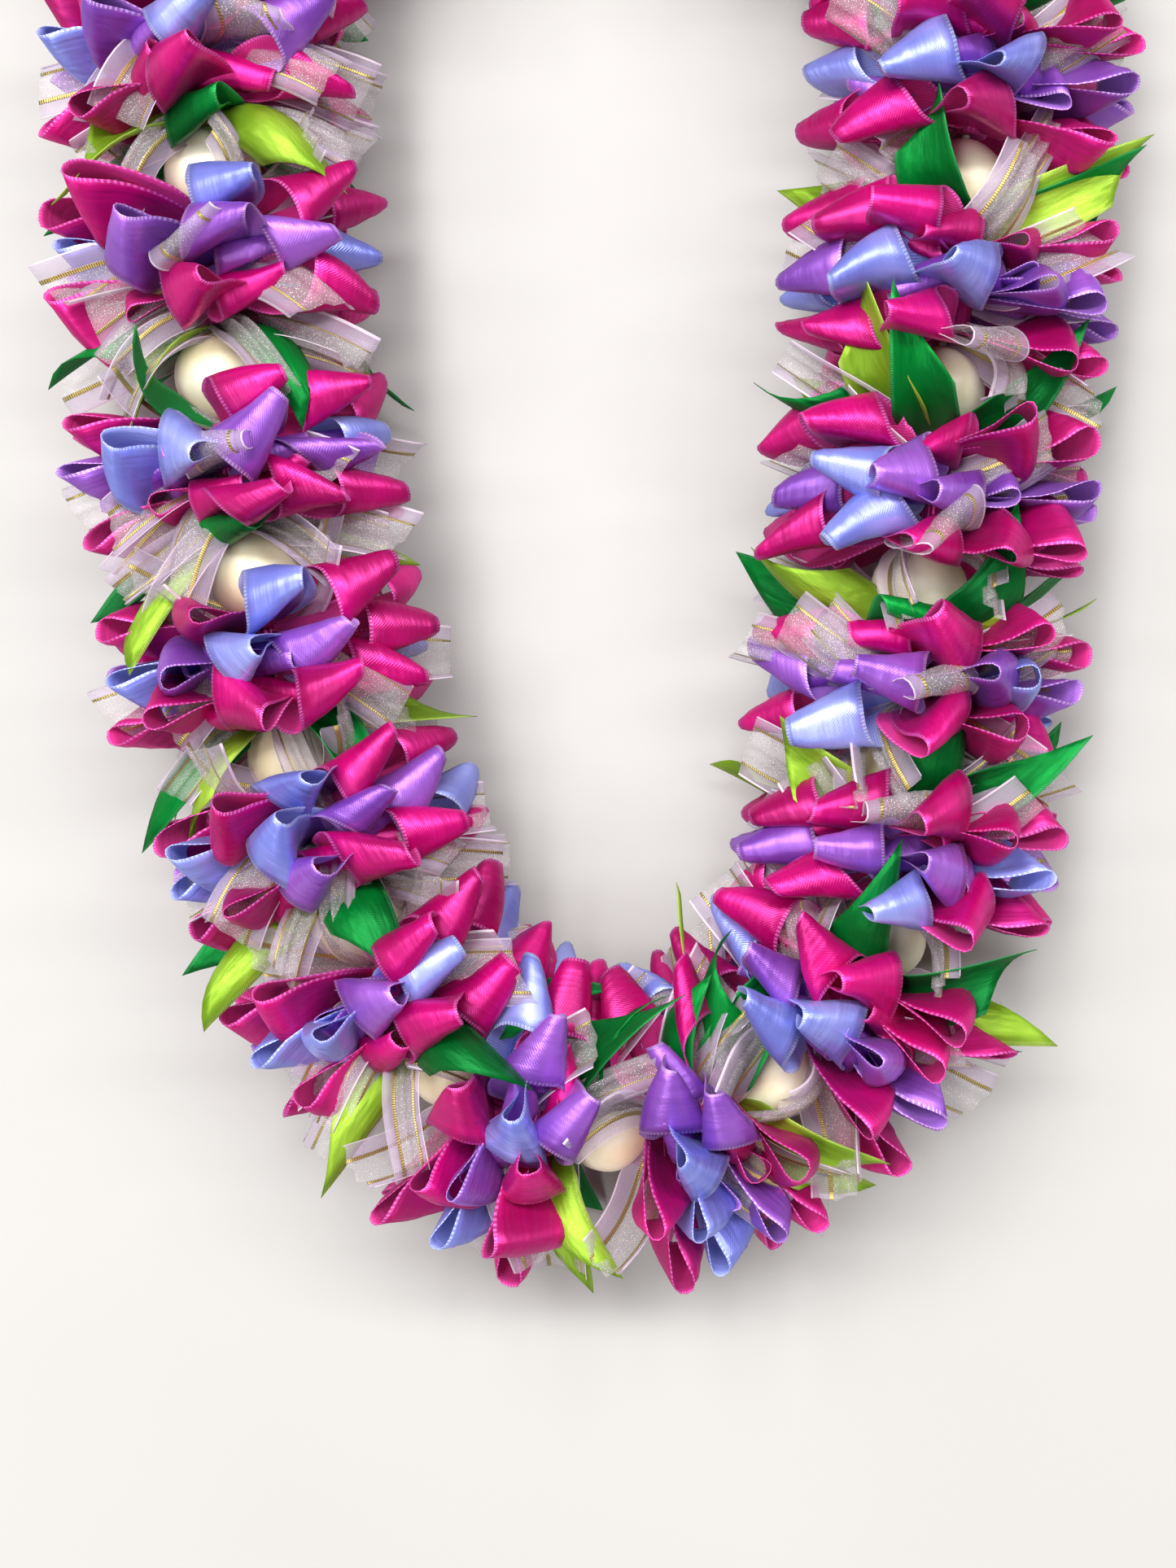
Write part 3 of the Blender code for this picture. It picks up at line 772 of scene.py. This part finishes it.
# %% The planting plan
PLAN = [
    "m50 m10 m-30 m-70 / w75 u44 t16 w2 o-22 u-45 t-75 / m56 m5 m-56 / k2 l-36 l46 t24 t70 t-70 g88",
    "m54 w-9 t-32 m-53 m88 m-90 / t60 u34 o10 u-8 u-36 w85 / m-58 m14 t40 m85"
    " / l52 g-44 t34 t-24 g78 t-80",
    "m-16 m-51 g50 m80 / w56 w20 o4 u-14 u-46 w-74 u85 / m-5 m-32 m-66 t26 t44 m85 / k10 l60 g74 t32 t-28",
    "m29 w-9 m-45 m85 m-88 / w14 u-20 u42 t-46 m-66 w78 / m15 m-22 m-60 m55 / l58 g-32 g80 t-10 t-58 t44",
    "m38 m-30 m80 m-75 w2 / w58 w14 t36 t-6 u-22 u-50 w86 / u10 m46 m-50 m85 m-20"
    " / g-6 l62 t24 g82 t-80 t-38",
    "m47 t22 m-16 m-40 m85 m-70 / w40 u12 w-20 t-46 w75 / m-4 t46 m66 m-34 / l58 g-8 t26 t84 g-60",
    "m50 t-16 m15 w-50 m88 / w8 u45 w76 u-24 m-55 / u-6 m60 m25 g-42 / l58 l86 g-50 t-34 t-62",
    "m43 t-30 t-44 m85 m-62 / w24 w56 w86 u-10 g-45 / u4 t36 u72 m-48 t-22 / m42 m80 g-28 g-52 l34 l66",
    "m46 t30 w-14 t-48 m80 m-75 / u-30 w0 u30 u76 w-70 / m45 m-60 m5 m85 m-25 / g-13 g34 l60 m48 t-45",
    "m37 w0 m-40 m75 m-80 / w66 u20 u-20 u-57 u-88 / m15 m45 m-22 m-60 o-6 m82 / g12 g48 l-46 t38 t-66",
    "m16 m50 w-36 t-30 t-52 m88 / w56 u-15 o6 t-46 u30 u-78 / m16 m58 m-68 / l-60 k-5 g44 l66 g88",
    "m2 w-26 m34 m66 o12 m-65 / w-38 u-10 u12 u-64 t36 u76 / m-42 m42 m75 m-80 / l-36 g-14 g42 t62 g-72",
    "m-15 m-50 m55 o18 t50 m88 / w-36 w3 u38 u-72 u70 / m-20 m-52 m-78 t16 m70 / g-24 t22 g62 l48 t-50",
    "m8 m-50 m58 m-85 / w-22 w10 t42 u74 t-48 w-78 / m6 m-24 m56 m-75 m88 / t-48 g34 j-10 g-62",
    "m0 m38 m-38 m78 m-78 / u20 w-20 u58 w-58 / m-5 m34 m-42 m74 / k10 l-36 o45 g-70 l75",
    "m-12 m26 m-50 m66 m-88 / w0 u36 u-36 w76 u-76 / m14 m-26 m54 m-64 / j0 g-40 g40 t65 o-70",
    "m18 m-20 m56 m-60 / u-8 w30 w-44 u68 w-82 / m4 m44 m-34 m84 / k-10 l36 t-50 g70 l-80",
    "m-6 m30 m-44 m70 m-82 / w14 u-22 w52 u-60 u88 / m22 m-14 m60 m-52 / j15 g-34 g54 o-55 t80",
    "m8 m-30 m46 m-68 m84 / u24 w-12 u62 w-50 u-86 / m-4 m36 m-42 m76 / k0 l44 l-40 t-70 g78",
]
BACK_LETTERS = ("m", "uwo", "m", "glt")
GAP_LETTERS = "tumt"
KINDS = {"m": "magenta", "u": "purple", "w": "periwinkle", "o": "organza", "t": "organza",
         "g": "green", "k": "green", "l": "lime", "j": "lime"}
RING_AT = (0.10, 0.42, 0.72, 0.95)
TIP_AT = (0.17, 0.43, 0.70, 0.86)
BACK_STEP = 36.0
SHORT_GAP = 26.0
SHORT_LENGTH = 68.0
TAIL_LENGTH = 51.0
LEAF_LENGTH = 60.0
LOOP_OPENS, SHORT_OPENS, ORGANZA_OPENS = 9.4, 6.5, 4.6
NUT_WINDOW = 45.0
FAN_AT = (-0.03, 0.56, 0.80, 0.92)
ORGANZA_FANS = (
    (3, 66.0), (3, 96.0), (3, -66.0), (3, -96.0), (1, 40.0), (1, 76.0), (1, -40.0), (1, -80.0),
)
FAN_ROOM = 14.0
NARROW = (0.45, 0.60)
OPEN = (0.74, 0.94)
FRONT_FROM = 0.55
TAIL_TURN = (60.0, 85.0)
LEAF_TURN = (10.0, 75.0)
SLIDE = 0.37
MEAN_REACH = 45.0 * MM
CORE_FROM_NUT = 15.0 * MM


def room_after(index):
    """Where the nut of this number and the next one stand on the cord."""
    return strand.nuts[index], strand.nuts[index + 1] if index + 1 < NUTS else strand.length


def read_ring(text):
    return [(entry[0], float(entry[1:])) for entry in text.split()]


def fill_back(ring, letters):
    """Add loops from the last angle of a ring round the underside to its first."""
    angles = [angle for _, angle in ring]
    start, end = max(angles), min(angles) + 360.0
    count = max(int((end - start) / BACK_STEP) - 1, 0)
    step = (end - start) / (count + 1)
    return [(letters[i % len(letters)], start + step * (i + 1)) for i in range(count)]


def fill_gaps(ring, letter):
    """Add an entry in the middle of each wide gap of a ring."""
    angles = sorted(angle for _, angle in ring)
    gaps = zip(angles, angles[1:])
    return [(letter, (a + b) / 2) for a, b in gaps if b - a > SHORT_GAP]


# %% [markdown]
# ## Planting the ribbons
# One bloom at a time, the entries are read and each loop or leaf is put in the mesh of its colour. Its
# frame stands on the cord and leans so that its tip comes to its ring's own place between the two
# nuts. A leaf is also turned about its own length, so that its face shows at the sides too, and a tail
# in the first ring lies back over the last nut. The random draws have a fixed seed for each bloom, so
# the garland is the same on each run.

# %% Planting the ribbons


def twist_for(angle, dice):
    """The tight ends are turned back towards the last nut, more at the sides than on top."""
    aside = abs(math.sin(math.radians(angle)))
    return dice.uniform(-8.0, 34.0 + 14.0 * aside)


def piece_for(pieces, kind, spray, index):
    if (kind, spray) not in pieces:
        group = "spray" if spray else "bloom"
        name = f"{kind}_{'spray' if spray else 'loops'}_{index:02d}"
        pieces[kind, spray] = Piece(name, kind, f"{group}_{index:02d}")
    return pieces[kind, spray]


def plant(pieces, index, ring, letter, angle, dice, short=False):
    """Build one entry of the plan in the mesh of its colour."""
    start, end = room_after(index)
    pitch = end - start
    low, high = start + CORE_FROM_NUT, end - CORE_FROM_NUT
    root = low + (high - low) * RING_AT[ring] + dice.uniform(-1.0, 1.0) * MM
    tip_at = FAN_AT[ring] if letter == "t" else TIP_AT[ring]
    tip = start + pitch * tip_at + dice.uniform(-2.0, 2.0) * MM
    lean = math.atan2(tip - root, MEAN_REACH)
    nod = dice.uniform(20.0, 50.0)
    angle += dice.uniform(-4.0, 4.0) - (0.0 if letter in "glt" else SLIDE * nod)
    seat = strand.turned(root, math.radians(angle)) @ Matrix.Rotation(lean, 4, "Y")
    piece = piece_for(pieces, KINDS[letter], ring == 3, index)
    aside = math.sin(math.radians(angle))
    front = max(math.cos(math.radians(angle)), 0.0)
    if letter in "glt":
        least, most = TAIL_TURN if letter == "t" else LEAF_TURN
        turn = -aside * dice.uniform(least, most) + (180.0 if ring == 0 else 0.0)
        seat = seat @ Matrix.Rotation(math.radians(turn), 4, "Z")
        bend = (5.0 + 65.0 * front**2, 35.0 + 60.0 * front**2)
        if letter == "t":
            spread = NARROW if ring in (0, 3) and front > FRONT_FROM else OPEN
            leaf = Leaf(dice, TAIL_LENGTH, ORGANZA_WIDTH, bend, (0.0, 0.25), pleats=3, spread=spread)
        else:
            leaf = Leaf(dice, LEAF_LENGTH, RIBBON_WIDTH, bend)
        add_leaf(piece, leaf, seat)
    else:
        short = short or letter in "kj"
        length = SHORT_LENGTH if short else RIBBON_LENGTH
        width = ORGANZA_WIDTH if letter == "o" else RIBBON_WIDTH
        wide = ORGANZA_OPENS if letter == "o" else SHORT_OPENS if short else LOOP_OPENS
        add_loop(piece, Loop(dice, length, width, twist_for(angle, dice), nod, wide), seat)


def build_bloom(index):
    dice = random.Random(100 + index)
    pieces = {}
    for ring, text in enumerate(PLAN[index].split("/")):
        entries = read_ring(text)
        for letter, angle in entries + fill_back(entries, BACK_LETTERS[ring]):
            plant(pieces, index, ring, letter, angle, dice)
        for letter, angle in fill_gaps(entries, GAP_LETTERS[ring]):
            if 0 < ring < 3 or abs(angle) > NUT_WINDOW:
                plant(pieces, index, ring, letter, angle, dice, short=True)
    for ring, angle in ORGANZA_FANS:
        if ring < 3 or all(abs(angle - leaf) > FAN_ROOM for _, leaf in entries):
            plant(pieces, index, ring, "t", angle, dice)
    return [piece.done(wall=True) for piece in pieces.values()]


def build_sleeve(index):
    start, end = room_after(index)
    piece = Piece(f"gathers_{index:02d}", "magenta", f"bloom_{index:02d}", f"spray_{index:02d}")
    add_sleeve(piece, start + CORE_FROM_NUT, end - CORE_FROM_NUT)
    return piece.done(wall=False)


made = []
for index in range(NUTS):
    made += build_bloom(index)
    made.append(build_sleeve(index))
print("ribbon pieces:", len(made), "faces:", sum(len(o.data.polygons) for o in made))
